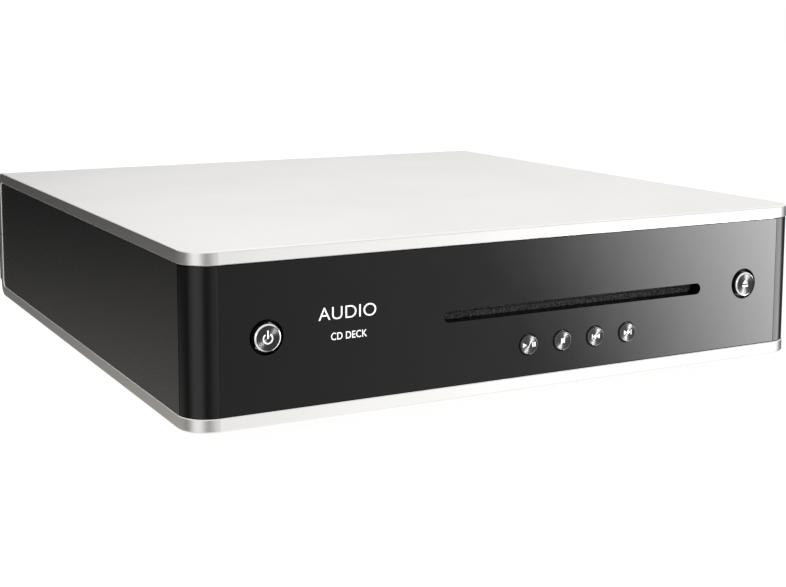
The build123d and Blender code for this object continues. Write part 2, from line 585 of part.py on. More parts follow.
def traverse_deck():
    """Tilting plate that carries the turntable, the pickup's rods and the sled motor."""
    half = 45.0
    deck = block((LOADER_X - half, LOADER_X + half), (depth(58.0), depth(172.0)), DECK_Z)
    deck -= block((LOADER_X - 28, LOADER_X + 28), (depth(101.0), depth(159.0)), (DECK_Z[0] - 1, DECK_Z[1] + 1))
    for x in CAM_PIN_X:
        deck += rod_y(SHAFT_RADIUS, x, (depth(53.0), depth(62.0)), CAM_PIN_Z)
        deck += block((x - 3, x + 3), (depth(58.0), depth(62.0)), (CAM_PIN_Z - 3, DECK_Z[1]))
    for side in (-1, 1):
        ear = sorted((LOADER_X + side * 42, LOADER_X + side * 50))
        deck += block(ear, (PIVOT_Y - 5, PIVOT_Y + 5), (PIVOT_Z - 4, DECK_Z[1]))
        deck -= rod_x(SHAFT_RADIUS + FIT, (ear[0] - 1, ear[1] + 1), PIVOT_Y, PIVOT_Z)
    for x in ROD_X:
        for y in (ROD_Y[0] - 3.5, ROD_Y[1] - 0.5):
            deck += block((x - 3, x + 3), (y, y + 4), (ROD_Z - 3, DECK_Z[0]))
        deck -= rod_y(SHAFT_RADIUS, x, (ROD_Y[0] - 0.1, ROD_Y[1] + 0.1), ROD_Z)
    lug = (SCREW_X - 4, SCREW_X + 4)
    for y in (depth(104.0), depth(160.2)):
        deck += block(lug, (y, y + 3), (SCREW_Z - 4, DECK_Z[0]))
        deck -= rod_y(SHAFT_RADIUS + FIT, SCREW_X, (y - 1, y + 4), SCREW_Z)
    deck -= rod_z(4.0, LOADER_X, SPINDLE_Y, (DECK_Z[0] - 1, DECK_Z[1] + 1))
    return deck


def spindle_motor():
    """Flat motor under the deck that turns the turntable."""
    can = rod_z(13.0, LOADER_X, SPINDLE_Y, (22.6, DECK_Z[0] - 0.02))
    can = fillet(can.edges().sort_by(Axis.Z)[0], 1.0)
    can += rod_z(3.8, LOADER_X, SPINDLE_Y, (DECK_Z[0] - 0.02, DECK_Z[1] + 0.8))
    return can - rod_z(1.0 + FIT, LOADER_X, SPINDLE_Y, (24.0, DECK_Z[1] + 2))


def turntable():
    """Hub with a flat seat, a centring cone and the motor's shaft in one turned piece."""
    profile = [(0, 24.5), (1.0, 24.5), (1.0, 34.0), (9.0, 34.0), (9.0, 38.6), (15.0, 38.6)]
    profile += [(15.0, SEAT_Z), (7.45, SEAT_Z), (7.3, SEAT_Z + 1.0), (5.5, SEAT_Z + 1.8), (0, SEAT_Z + 1.8)]
    return turned(profile, LOADER_X, SPINDLE_Y, 0.0)


def sled_motor():
    """Stepper motor at the rear end of the lead screw."""
    y = depth(163.3)
    can = rod_y(6.0, SCREW_X, (y, y + 9.5), SCREW_Z)
    return can - rod_y(SHAFT_RADIUS + FIT, SCREW_X, (y - 1, y + 5.0), SCREW_Z)


def pickup_sled():
    """Cast body on two rods, with a nut arm round the lead screw."""
    y = (LENS_Y - 9.0, LENS_Y + 9.0)
    sled = block((LOADER_X - 26, LOADER_X + 26), y, (ROD_Z - 3.6, ROD_Z + 3.0))
    sled += block((LOADER_X - 12, LOADER_X + 12), (y[0] + 1, y[1] - 1), (ROD_Z + 3.0, 33.0))
    sled += block((LOADER_X + 25, SCREW_X + 3.6), (LENS_Y - 4, LENS_Y + 4), (SCREW_Z - 3.6, ROD_Z + 2.0))
    for x in ROD_X:
        sled -= rod_y(SHAFT_RADIUS + FIT, x, (y[0] - 1, y[1] + 1), ROD_Z)
    return sled - rod_y(SHAFT_RADIUS + FIT, SCREW_X, (LENS_Y - 5, LENS_Y + 5), SCREW_Z)


def lens_holder():
    """Moving part of the focus actuator, held clear of the sled."""
    body = block((LOADER_X - 7, LOADER_X + 7), (LENS_Y - 5, LENS_Y + 5), (33.6, 38.0))
    return body - rod_z(2.5, LOADER_X, LENS_Y, (32.0, 39.0))


def objective_lens():
    """Small round lens in the holder's bore, domed on top."""
    lens = rod_z(2.5, LOADER_X, LENS_Y, (36.6, 38.8))
    return fillet(lens.edges().sort_by(Axis.Z)[-1], 0.8)


def clamper():
    """Freely turning clamper: a puck that presses on the disc, and the cap that it hangs from."""
    low = SEAT_Z + 1.2
    neck_top = WALL_TOP + SHEET + 0.1
    puck = [(0, low + 1.8), (8.4, low + 1.8), (8.4, low), (13.0, low), (13.0, 46.4), (10.4, 46.4)]
    puck += [(10.4, neck_top), (0, neck_top)]
    cap = [(0, neck_top), (14.0, neck_top), (14.0, neck_top + 1.6), (9.0, neck_top + 1.6)]
    cap += [(9.0, neck_top + 3.4), (0, neck_top + 3.4)]
    return turned(puck, LOADER_X, SPINDLE_Y, 0.0) + turned(cap, LOADER_X, SPINDLE_Y, 0.0)


# ---- electronics ------------------------------------------------------------------------------------
POWER_BOARD = ((-125.0, -67.0), (depth(112.0), depth(276.0)))
MAIN_BOARD = ((-58.0, 124.0), (depth(186.0), depth(276.0)))
BOARD_POSTS = [(x, y) for xs, ys in (POWER_BOARD, MAIN_BOARD)
               for x in (xs[0] + 6, xs[1] - 6) for y in (ys[0] + 6, ys[1] - 14)]
JACK_Z = MIDDLE
ANALOG_X = (62.0, 82.0)
COAX_X = 18.0
INLET_X = -104.0
INLET_HALF = (13.0, 9.0)
JACK_RADIUS = 4.15
JACK_FLANGE_RADIUS = 6.0
PANEL_FACE = BACK + REAR_PANEL_PROUD
CABLE_X, CABLE_Z, CABLE_END = LOADER_X - LOADER_HALF - 6.0, 28.0, depth(206.0)


def circuit_board(outline):
    x, y = outline
    board = block(x, y, BOARD_Z)
    for px in (x[0] + 6, x[1] - 6):
        for py in (y[0] + 6, y[1] - 14):
            board -= rod_z(1.6, px, py, (BOARD_Z[0] - 1, BOARD_Z[1] + 1))
    return board


def transformer():
    """Laminated core with a winding on its middle leg, lying on the power board."""
    x, y, z = -94.0, depth(160.0), BOARD_Z[1] + 0.02
    core = block((x - 24, x + 24), (y - 10, y + 10), (z, z + 40))
    winding = block((x - 15, x + 15), (y - 18, y + 18), (z + 6, z + 34))
    return core + winding


def power_capacitors():
    """Three reservoir capacitors and four small ones on the power board."""
    z = BOARD_Z[1] + 0.02
    large = [rod_z(9.0, -78.0, depth(y), (z, z + 32)) for y in (196.0, 217.0, 238.0)]
    small = [rod_z(4.0, -108.0, depth(y), (z, z + 16)) for y in (192.0, 203.0, 214.0, 225.0)]
    return large + small


def main_board_parts():
    """Chips, relays and capacitors on the main board."""
    z = BOARD_Z[1] + 0.02
    places = [(-10, 206, 14, 14, 1.6), (30, 210, 9, 9, 1.6), (60, 216, 5, 4, 1.5), (82, 216, 5, 4, 1.5)]
    places += [(60, 240, 16, 11, 12), (82, 240, 16, 11, 12), (-24, 236, 12, 5, 4)]
    found = [block((x - w / 2, x + w / 2), (depth(y - d / 2), depth(y + d / 2)), (z, z + h))
             for x, y, w, d, h in places]
    return found + [rod_z(4.0, x, depth(y), (z, z + 14)) for x in (4, 16, 104) for y in (224, 236)]


def jack_housing(centres):
    """Insulating block on the main board behind the rear panel, bored for each socket."""
    x = (min(centres) - 9, max(centres) + 9)
    wall = PANEL_FACE - SHEET - 0.05
    body = block(x, (depth(268.0), wall), (BOARD_Z[1] + 0.02, JACK_Z + 9))
    for jack_x in centres:
        body += rod_y(JACK_FLANGE_RADIUS, jack_x, (wall, PANEL_FACE), JACK_Z)
        body -= rod_y(3.4, jack_x, (wall - 8, PANEL_FACE + 1), JACK_Z)
    return body


def rca_sleeve(x):
    """Plated outer contact that a phono plug's skirt slides over."""
    end = PANEL_FACE + JACK_LENGTH
    profile = [(3.5, 0.02), (5.4, 0.02), (5.4, 0.9), (JACK_RADIUS, 0.9), (JACK_RADIUS, end - PANEL_FACE)]
    profile += [(3.5, end - PANEL_FACE)]
    return turned(profile, x, PANEL_FACE, JACK_Z, "y")


def rca_insulator(x):
    """Coloured insulator inside a sleeve, with the centre contact's hole."""
    y = (PANEL_FACE - 7.0, PANEL_FACE + JACK_LENGTH - 0.6)
    body = rod_y(3.38, x, y, JACK_Z)
    return body - rod_y(1.65, x, (y[1] - 8.5, y[1] + 1), JACK_Z)


def ac_inlet():
    """Two-pole mains inlet with a figure-eight well."""
    x, z = INLET_HALF
    y = (depth(268.0), PANEL_FACE + 0.5)
    body = block((INLET_X - x, INLET_X + x), y, (JACK_Z - z, JACK_Z + z))
    body += block((INLET_X - x, INLET_X + x), (y[0], PANEL_FACE - 3), (BOARD_Z[1] + 0.02, JACK_Z))
    body += block((INLET_X - x - 2, INLET_X + x + 2), (PANEL_FACE + 0.03, y[1] + 1.0),
                  (JACK_Z - z - 2, JACK_Z + z + 2))
    well = SlotOverall(18.0, 9.2)
    return body - Pos(INLET_X, PANEL_FACE + 5, JACK_Z) * extrude(Plane.XZ * well, 17.5)


def ac_inlet_pins():
    """The two round mains pins in the well."""
    found = []
    for x in (INLET_X - 4.9, INLET_X + 4.9):
        found.append(rod_y(1.2, x, (PANEL_FACE - 12.45, PANEL_FACE - 2.0), JACK_Z))
    return found


def ribbon_cable():
    """Flat cable from the front board to the main board, along the loader's left side."""
    path = [(depth(19.0), CABLE_Z), (depth(26.0), CABLE_Z), (depth(26.0), 40.0), (CABLE_END, 40.0),
            (CABLE_END, BOARD_Z[1] + 5.0)]
    line = FilletPolyline([(CABLE_X, y, z) for y, z in path], radius=3.0)
    face = Plane(origin=line @ 0, z_dir=line % 0, x_dir=(1, 0, 0)) * Rectangle(9.0, 0.6)
    return sweep(face, line)


def cable_connectors():
    """The plug on each board that an end of the ribbon cable goes into."""
    x = (CABLE_X - 6.0, CABLE_X + 6.0)
    front = block(x, (depth(BOARD_DEPTH[1]), depth(19.0)), (CABLE_Z - 2.5, CABLE_Z + 2.5))
    rear = block(x, (CABLE_END - 2.5, CABLE_END + 2.5), (BOARD_Z[1], BOARD_Z[1] + 5.0))
    return [front, rear]


def rear_panel_screws():
    """Black screws that hold the rear panel to the shells."""
    return [screw(x, PANEL_FACE + 0.02, z, 3.0, 1.8, 1.4, 9.0, "y")
            for x in REAR_SCREW_X for z in REAR_SCREW_Z]


# ---- output -----------------------------------------------------------------------------------------
def main():
    os.makedirs("parts", exist_ok=True)
    upper, lower = half_shells()
    save("top_cover", upper)
    save("bottom_cover", lower)
    save("side_panel_left", side_panel(-1))
    save("side_panel_right", side_panel(1))
    save("rear_panel", rear_panel())
    save("chassis_tray", chassis_tray())
    save("feet", *feet())
    save("foot_screws", *foot_screws())
    save("rear_panel_screws", *rear_panel_screws())

    save("front_fascia", front_fascia())
    save("front_glass", front_glass())
    for name, (x, z, cap, _, proud) in BUTTONS.items():
        save(name, button(x, z, cap, proud))
    save("slot_seals", *slot_seals())
    save("front_board", front_board())
    save("tact_switches", *tact_switches())
    save("ir_receiver", ir_receiver())

    save("loader_base", loader_base())
    save("loader_top_plate", loader_top_plate())
    save("disc_guide", disc_guide())
    save("roller_bushes", *roller_bushes())
    save("loader_pins", *loader_pins())
    shaft_x = (LOADER_X - LOADER_HALF - 2.0, GEAR_X[1] + 0.5)
    save("feed_roller_shaft", rod_x(SHAFT_RADIUS, shaft_x, ROLLER_Y, GEAR_Z))
    save("feed_roller_rubber", feed_roller_rubber())
    save("feed_roller_gear", gear(ROLLER_TEETH, MODULE, GEAR_X, ROLLER_Y, GEAR_Z, 0.0, SHAFT_RADIUS))
    half_step = 180.0 / IDLER_TEETH
    save("idler_gear", gear(IDLER_TEETH, MODULE, GEAR_X, IDLER_Y, GEAR_Z, half_step, SHAFT_RADIUS + FIT))
    save("motor_pinion", motor_pinion())
    save("loading_motor", loading_motor())
    save("loader_dampers", *loader_dampers())
    save("chassis_screws", *chassis_screws())
    save("cam_slider", cam_slider())

    save("traverse_deck", lowered(traverse_deck()))
    save("spindle_motor", lowered(spindle_motor()))
    save("turntable", lowered(turntable()))
    save("guide_rods", *[lowered(rod_y(SHAFT_RADIUS, x, ROD_Y, ROD_Z)) for x in ROD_X])
    save("sled_motor", lowered(sled_motor()))
    save("lead_screw", lowered(rod_y(SHAFT_RADIUS, SCREW_X, (depth(103.5), depth(168.0)), SCREW_Z)))
    save("pickup_sled", lowered(pickup_sled()))
    save("lens_holder", lowered(lens_holder()))
    save("objective_lens", lowered(objective_lens()))
    save("clamper", clamper())

    save("power_board", circuit_board(POWER_BOARD))
    save("transformer", transformer())
    save("power_capacitors", *power_capacitors())
    save("main_board", circuit_board(MAIN_BOARD))
    save("main_board_parts", *main_board_parts())
    save("analog_jack_housing", jack_housing(ANALOG_X))
    save("coax_jack_housing", jack_housing((COAX_X,)))
    save("rca_sleeves", *[rca_sleeve(x) for x in (*ANALOG_X, COAX_X)])
    save("rca_insulator_red", rca_insulator(ANALOG_X[0]))
    save("rca_insulator_white", rca_insulator(ANALOG_X[1]))
    save("rca_insulator_orange", rca_insulator(COAX_X))
    save("ac_inlet", ac_inlet())
    save("ac_inlet_pins", *ac_inlet_pins())
    save("ribbon_cable", ribbon_cable())
    save("cable_connectors", *cable_connectors())


main()
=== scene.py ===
"""Looks of the disc player: materials, printed symbols, floor, light and camera round the CAD frame."""
import json
import math
from functools import reduce

import bmesh
import bpy
from mathutils import Matrix, Vector


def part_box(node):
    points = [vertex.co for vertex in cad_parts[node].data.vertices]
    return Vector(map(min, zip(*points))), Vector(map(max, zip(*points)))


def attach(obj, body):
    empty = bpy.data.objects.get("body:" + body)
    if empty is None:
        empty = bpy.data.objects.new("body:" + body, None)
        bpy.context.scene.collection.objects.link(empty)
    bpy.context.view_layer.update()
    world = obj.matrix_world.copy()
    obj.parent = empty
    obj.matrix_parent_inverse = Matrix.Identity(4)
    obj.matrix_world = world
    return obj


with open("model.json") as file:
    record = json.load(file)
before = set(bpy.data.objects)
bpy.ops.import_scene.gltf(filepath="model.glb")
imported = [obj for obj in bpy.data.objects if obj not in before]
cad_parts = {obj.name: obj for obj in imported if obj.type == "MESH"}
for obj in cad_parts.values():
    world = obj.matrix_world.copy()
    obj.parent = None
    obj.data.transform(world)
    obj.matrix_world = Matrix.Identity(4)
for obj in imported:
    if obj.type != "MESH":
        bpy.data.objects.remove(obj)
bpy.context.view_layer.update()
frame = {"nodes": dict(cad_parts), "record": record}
nodes = frame["nodes"]
MM = 0.001


# ---- small node-tree language -----------------------------------------------------------------------
class Tree:
    """Adds nodes to a tree, and links or sets their inputs in one call."""

    def __init__(self, tree):
        self.tree = tree
        tree.nodes.clear()

    def add(self, kind, inputs=None, **settings):
        node = self.tree.nodes.new("ShaderNode" + kind)
        for name, value in settings.items():
            setattr(node, name, value)
        for name, value in (inputs or {}).items():
            socket = node.inputs[name]
            if isinstance(value, bpy.types.NodeSocket):
                self.tree.links.new(value, socket)
            else:
                socket.default_value = value
        return node

    def math(self, operation, *values, clamp=False):
        inputs = dict(enumerate(values))
        return self.add("Math", inputs, operation=operation, use_clamp=clamp).outputs[0]

    def smooth(self, value, low, high, bottom=0.0, top=1.0):
        """A smooth step from bottom to top as value goes from low to high."""
        inputs = {"Value": value, 1: low, 2: high, 3: bottom, 4: top}
        return self.add("MapRange", inputs, interpolation_type="SMOOTHSTEP").outputs["Result"]

    def linear(self, value, low, high, bottom=0.0, top=1.0):
        inputs = {"Value": value, 1: low, 2: high, 3: bottom, 4: top}
        return self.add("MapRange", inputs).outputs["Result"]


def material(name):
    mat = bpy.data.materials.new(name)
    mat.use_nodes = True
    return mat, Tree(mat.node_tree)


def noise(t, scale, detail=3.0, roughness=0.55, stretch=(1, 1, 1), coordinates="Object"):
    """Noise in metres of the object frame, stretched per axis."""
    source = t.add("TexCoord").outputs[coordinates]
    mapped = t.add("Mapping", {"Vector": source, "Scale": stretch}).outputs["Vector"]
    inputs = {"Vector": mapped, "Scale": scale, "Detail": detail, "Roughness": roughness}
    return t.add("TexNoise", inputs).outputs["Fac"]


# sockets of the Mix node in colour mode, whose names repeat those of its other modes
COLOR_A, COLOR_B, COLOR_OUT = 6, 7, 2


def tone(t, fac, dark, light):
    """A colour between dark and light."""
    inputs = {"Factor": fac, COLOR_A: (*dark, 1), COLOR_B: (*light, 1)}
    return t.add("Mix", inputs, data_type="RGBA").outputs[COLOR_OUT]


def surface(t, inputs, bump=None, strength=0.1, distance=0.0001):
    """Principled shader with an optional bump height, wired to the output."""
    if bump is not None:
        normal = t.add("Bump", {"Height": bump, "Strength": strength, "Distance": distance})
        inputs = {**inputs, "Normal": normal.outputs["Normal"]}
    shader = t.add("BsdfPrincipled", inputs)
    t.add("OutputMaterial", {"Surface": shader.outputs[0]})
    return shader


# ---- materials --------------------------------------------------------------------------------------
def facing_front(t):
    """1 on faces that look along Y, 0 on those that look across it."""
    normal = t.add("NewGeometry").outputs["True Normal"]
    return t.math("ABSOLUTE", t.add("SeparateXYZ", {0: normal}).outputs["Y"])


def satin_silver():
    """Bead-blasted, anodised aluminium: fine grain and a faint cloudiness."""
    mat, t = material("satin_silver")
    grain = noise(t, 2600, detail=2)
    cloud = noise(t, 14, detail=4)
    color = tone(t, t.smooth(cloud, 0.3, 0.7), (0.87, 0.86, 0.845), (0.90, 0.895, 0.885))
    rough = t.linear(grain, 0.3, 0.7, 0.27, 0.37)
    surface(t, {"Base Color": color, "Metallic": 1.0, "Roughness": rough}, grain, 0.12, 0.00004)
    return mat


def satin_black(name, base, rough, grain_scale=1800, stretch=(1, 1, 1), strength=0.15, ior=1.58,
                gloss=None):
    """Fine-textured dark paint or moulding. gloss may be a function that gives the specular level."""
    mat, t = material(name)
    grain = noise(t, grain_scale, detail=2, stretch=stretch)
    cloud = noise(t, 25, detail=3)
    color = tone(t, cloud, [c * 0.8 for c in base], [c * 1.25 for c in base])
    roughness = t.linear(grain, 0.3, 0.7, rough - 0.05, rough + 0.05)
    level = gloss(t) if gloss else 0.5
    surface(t, {"Base Color": color, "Roughness": roughness, "IOR": ior, "Specular IOR Level": level},
            grain, strength, 0.00003)
    return mat


def gloss_outside_only(t):
    """The moulding is matte where it lies behind the face plate."""
    place = t.add("SeparateXYZ", {0: t.add("TexCoord").outputs["Object"]}).outputs
    middle = t.smooth(t.math("ABSOLUTE", place["X"]), 0.1281, 0.1283, 1.0, 0.0)
    behind = t.smooth(place["Y"], -0.1499, -0.1497)
    return t.math("SUBTRACT", 0.5, t.math("MULTIPLY", t.math("MULTIPLY", middle, behind), 0.45))


def black_acrylic():
    """Polished face plate with the slightest waviness and polishing haze."""
    mat, t = material("black_acrylic")
    wave = noise(t, 9, detail=1)
    haze = noise(t, 60, detail=5)
    rough = t.linear(haze, 0.35, 0.7, 0.08, 0.12)
    color = tone(t, haze, (0.002, 0.002, 0.0021), (0.003, 0.003, 0.0031))
    gloss = t.smooth(facing_front(t), 0.3, 0.6, 0.05, 0.5)
    surface(t, {"Base Color": color, "Roughness": rough, "IOR": 1.33, "Specular IOR Level": gloss},
            wave, 0.02, 0.0002)
    return mat


FLANGE = 0.9     # mm that the button's flange reaches past its cap
RIM_BLUR = 0.03  # mm


def spun_cap(name, cap, rim_width, rim_level, face):
    """Turned cap of this radius in mm: a face of fine rings inside a bright diamond-cut edge. The face's
    colour is kept far darker than aluminium as painted shade, so the face reads dark between the streaks of
    light.
    """
    mat, t = material(name)
    across = 2 * (cap + FLANGE)
    centred = t.add("VectorMath", {0: t.add("TexCoord").outputs["Generated"], 1: (0.5, 0.5, 0.5)},
                    operation="SUBTRACT").outputs[0]
    parts = t.add("SeparateXYZ", {0: centred})
    flat = t.add("CombineXYZ", {"X": parts.outputs["X"], "Z": parts.outputs["Z"]}).outputs[0]
    length = t.add("VectorMath", {0: flat}, operation="LENGTH").outputs["Value"]
    radius = t.math("MULTIPLY", length, across)
    rings = t.add("TexNoise", {"W": radius, "Scale": 7.0, "Detail": 2.0},
                  noise_dimensions="1D").outputs["Fac"]
    edge = cap - rim_width
    rim = t.math("MULTIPLY", t.smooth(radius, edge - RIM_BLUR, edge + RIM_BLUR),
                 t.smooth(facing_front(t), 0.2, 0.5))
    inner = t.math("SUBTRACT", 1.0, rim)
    # Base colour: the rim level on the diamond-cut edge plus the face level, a dark colour that is painted
    # shade.
    bright = t.math("ADD", t.math("MULTIPLY", rim, rim_level),
                    t.linear(rings, 0.25, 0.75, face * 0.75, face * 1.25))
    rough = t.math("ADD", t.math("MULTIPLY", inner, 0.26), t.linear(rings, 0.25, 0.75, 0.10, 0.16))
    tangent = t.add("Tangent", direction_type="RADIAL", axis="Y").outputs[0]
    surface(t, {"Base Color": bright, "Metallic": 1.0, "Roughness": rough,
                "Anisotropic": t.math("MULTIPLY", inner, 0.94), "Anisotropic Rotation": 0.25,
                "Tangent": tangent}, rings, 0.01, 0.00002)
    return mat


def felt():
    mat, t = material("black_felt")
    fibres = noise(t, 1100, detail=4, roughness=0.8)
    color = tone(t, t.smooth(fibres, 0.42, 0.66), (0.01, 0.01, 0.01), (0.26, 0.26, 0.255))
    surface(t, {"Base Color": color, "Roughness": 0.95, "Sheen Weight": 0.5, "Sheen Roughness": 0.5},
            fibres, 0.9, 0.0004)
    return mat


def plain(name, base, rough, metallic=0.0, grain_scale=900, strength=0.12, variation=0.12, extra=None):
    """Plastic, rubber or metal with grain in its roughness, colour and bump."""
    mat, t = material(name)
    grain = noise(t, grain_scale, detail=3)
    cloud = noise(t, 40, detail=3)
    color = tone(t, cloud, [c * (1 - variation) for c in base], [min(1, c * (1 + variation)) for c in base])
    roughness = t.linear(grain, 0.3, 0.7, max(0.02, rough - 0.06), rough + 0.06)
    surface(t, {"Base Color": color, "Metallic": metallic, "Roughness": roughness, **(extra or {})},
            grain, strength, 0.00004)
    return mat


def brushed(name, base, rough, stretch):
    """Metal with fine lines along one axis."""
    mat, t = material(name)
    lines = noise(t, 500, detail=4, stretch=stretch)
    color = tone(t, lines, [c * 0.85 for c in base], [min(1, c * 1.1) for c in base])
    roughness = t.linear(lines, 0.3, 0.7, rough - 0.08, rough + 0.08)
    surface(t, {"Base Color": color, "Metallic": 1.0, "Roughness": roughness}, lines, 0.15, 0.00003)
    return mat


def glowing_white_print():
    mat, t = material("glowing_white_print")
    grain = noise(t, 3000, detail=2)
    color = tone(t, grain, (0.80, 0.80, 0.79), (0.92, 0.92, 0.91))
    # The emission makes the print glow: painted light that lifts it brighter than its white colour under
    # the lamps.
    surface(t, {"Base Color": color, "Roughness": 0.45, "Emission Color": (1, 1, 1, 1),
                "Emission Strength": 0.7}, grain, 0.1, 0.00002)
    return mat


SILVER = satin_silver()
PANEL_BLACK = satin_black("satin_black_panel", (0.005, 0.005, 0.0052), 0.28)
FASCIA_BLACK = satin_black("fascia_black", (0.003, 0.003, 0.0032), 0.15, 700, (1, 1, 0.05), 0.08, 1.45,
                           gloss_outside_only)
GLASS = black_acrylic()
# The last number is the face colour, set dark as painted shade.
LARGE_CAP = spun_cap("spun_large_cap", 5.05, 0.5, 0.85, 0.045)
SMALL_CAP = spun_cap("spun_small_cap", 3.9, 0.3, 0.02, 0.065)
FELT = felt()
ZINC = brushed("zinc_plate", (0.55, 0.56, 0.56), 0.35, (0.05, 1, 1))
STEEL = brushed("bright_steel", (0.62, 0.62, 0.63), 0.22, (0.05, 1, 1))
MOULDED = plain("moulded_black", (0.018, 0.018, 0.018), 0.45)
RUBBER = plain("rubber", (0.02, 0.02, 0.02), 0.75, strength=0.3)
ACETAL = plain("natural_acetal", (0.75, 0.74, 0.68), 0.4)
BOARD = plain("solder_mask", (0.02, 0.16, 0.06), 0.35, grain_scale=400, variation=0.3)
IRON = plain("laminations", (0.16, 0.10, 0.06), 0.5, grain_scale=1500, variation=0.3)
SLEEVE = plain("capacitor_sleeve", (0.02, 0.03, 0.09), 0.3)
NICKEL = plain("nickel", (0.78, 0.74, 0.66), 0.18, metallic=1.0, variation=0.05)
REAR_BLACK = satin_black("rear_black", (0.016, 0.016, 0.016), 0.5, 1200, strength=0.4)
BLACK_SCREW = plain("black_oxide", (0.03, 0.03, 0.03), 0.35, metallic=0.8)
RED = plain("red_plastic", (0.50, 0.015, 0.015), 0.35)
ORANGE = plain("orange_plastic", (0.75, 0.16, 0.01), 0.35)
WHITE = plain("white_plastic", (0.78, 0.78, 0.76), 0.35)
CABLE = plain("cable_grey", (0.62, 0.62, 0.60), 0.5, grain_scale=300)
LENS = plain("coated_lens", (0.10, 0.12, 0.35), 0.05, extra={"Coat Weight": 1.0})
GLOWING_PRINT = glowing_white_print()

BY_SLOT = {
    "silver_shell": SILVER, "black_panel": PANEL_BLACK, "black_moulding": FASCIA_BLACK,
    "black_glass": GLASS, "turned_aluminium": SMALL_CAP, "felt": FELT, "steel": ZINC,
    "black_screw": BLACK_SCREW, "rubber": RUBBER, "bright_steel": STEEL, "white_plastic": ACETAL,
    "black_plastic": MOULDED, "lens_glass": LENS, "green_board": BOARD, "copper_and_iron": IRON,
    "capacitor_sleeve": SLEEVE, "plated_contact": NICKEL, "red_plastic": RED, "orange_plastic": ORANGE,
    "cable": CABLE,
}
BY_NODE = {
    "power_button": LARGE_CAP, "eject_button": LARGE_CAP, "rear_panel": REAR_BLACK,
    "rca_insulator_white": WHITE,
}

for part in frame["record"]["subparts"]:
    obj = nodes[part["node"]]
    mat = BY_NODE.get(part["node"], BY_SLOT[part["material_slot"]])
    obj.data.materials.clear()
    obj.data.materials.append(mat)


# ---- printed symbols --------------------------------------------------------------------------------
def add_mesh(name, mesh, mat, body):
    piece = bpy.data.objects.new(name, mesh)
    bpy.context.scene.collection.objects.link(piece)
    mesh.materials.clear()
    mesh.materials.append(mat)
    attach(piece, body)
    return piece


def printed(outlines, thickness=0.00004):
    """Flat closed outlines of (x, z) points as thin plates that face -Y, their fronts at y = -thickness."""
    bm = bmesh.new()
    for points in outlines:
        area = sum(a[0] * b[1] - b[0] * a[1] for a, b in zip(points, points[1:] + points[:1]))
        if area < 0:
            points = points[::-1]
        front = [bm.verts.new((x, -thickness, z)) for x, z in points]
        back = [bm.verts.new((x, 0, z)) for x, z in points]
        bm.faces.new(front)
        bm.faces.new(back[::-1])
        for i in range(len(points)):
            j = (i + 1) % len(points)
            bm.faces.new((front[j], front[i], back[i], back[j]))
    mesh = bpy.data.meshes.new("printed")
    bm.to_mesh(mesh)
    bm.free()
    return mesh


def box_outline(x0, z0, x1, z1):
    return [(x0, z0), (x1, z0), (x1, z1), (x0, z1)]


def arc_band(radius, width, start, end, steps=28):
    """Ring sector between two angles in degrees, measured from +x."""
    angles = [math.radians(start + (end - start) * i / steps) for i in range(steps + 1)]
    outer = [(math.cos(a) * (radius + width / 2), math.sin(a) * (radius + width / 2)) for a in angles]
    inner = [(math.cos(a) * (radius - width / 2), math.sin(a) * (radius - width / 2)) for a in angles]
    return outer + inner[::-1]


def power_symbol():
    ring = [(x, z - 0.25) for x, z in arc_band(1.75, 0.5, -236, 56)]
    return [ring, box_outline(-0.25, -0.3, 0.25, 2.75)]


def play_pause_symbol():
    return [[(-3.0, -0.95), (-1.15, 0.0), (-3.0, 0.95)],
            [(-0.5, -1.2), (-0.25, -1.2), (0.75, 1.2), (0.5, 1.2)],
            box_outline(1.35, -0.95, 1.9, 0.95), box_outline(2.35, -0.95, 2.9, 0.95)]


def stop_symbol():
    return [box_outline(-0.9, -0.9, 0.9, 0.9)]


def skip_symbol(side):
    """Bar and two triangles that point to it; side 1 points left, -1 right."""
    bar = sorted((-side * 1.9, -side * 1.5))
    return [[(side * 0.2, 0.0), (side * 1.9, 1.0), (side * 1.9, -1.0)],
            [(-side * 1.5, 0.0), (side * 0.2, 1.0), (side * 0.2, -1.0)],
            box_outline(bar[0], -1.0, bar[1], 1.0)]


def eject_symbol():
    return [[(-1.55, 0.2), (1.55, 0.2), (0.0, 1.85)], box_outline(-1.55, -1.25, 1.55, -0.4)]


SYMBOLS = {
    "power_button": power_symbol(), "play_pause_button": play_pause_symbol(), "stop_button": stop_symbol(),
    "previous_button": skip_symbol(1), "next_button": skip_symbol(-1), "eject_button": eject_symbol(),
}
DISH = 0.18 * MM  # how far the cap's face lies behind its rim
for name, outlines in SYMBOLS.items():
    low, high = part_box(name)
    scaled = [[(x * MM, z * MM) for x, z in outline] for outline in outlines]
    symbol = add_mesh(name + "_symbol", printed(scaled), GLOWING_PRINT, name)
    symbol.location = ((low.x + high.x) / 2, low.y + DISH, (low.z + high.z) / 2)
    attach(symbol, name)


CAPITALS = 0.73   # height of the built-in font's capitals over its size
INK = 0.02 * MM   # half the thickness of the printed words


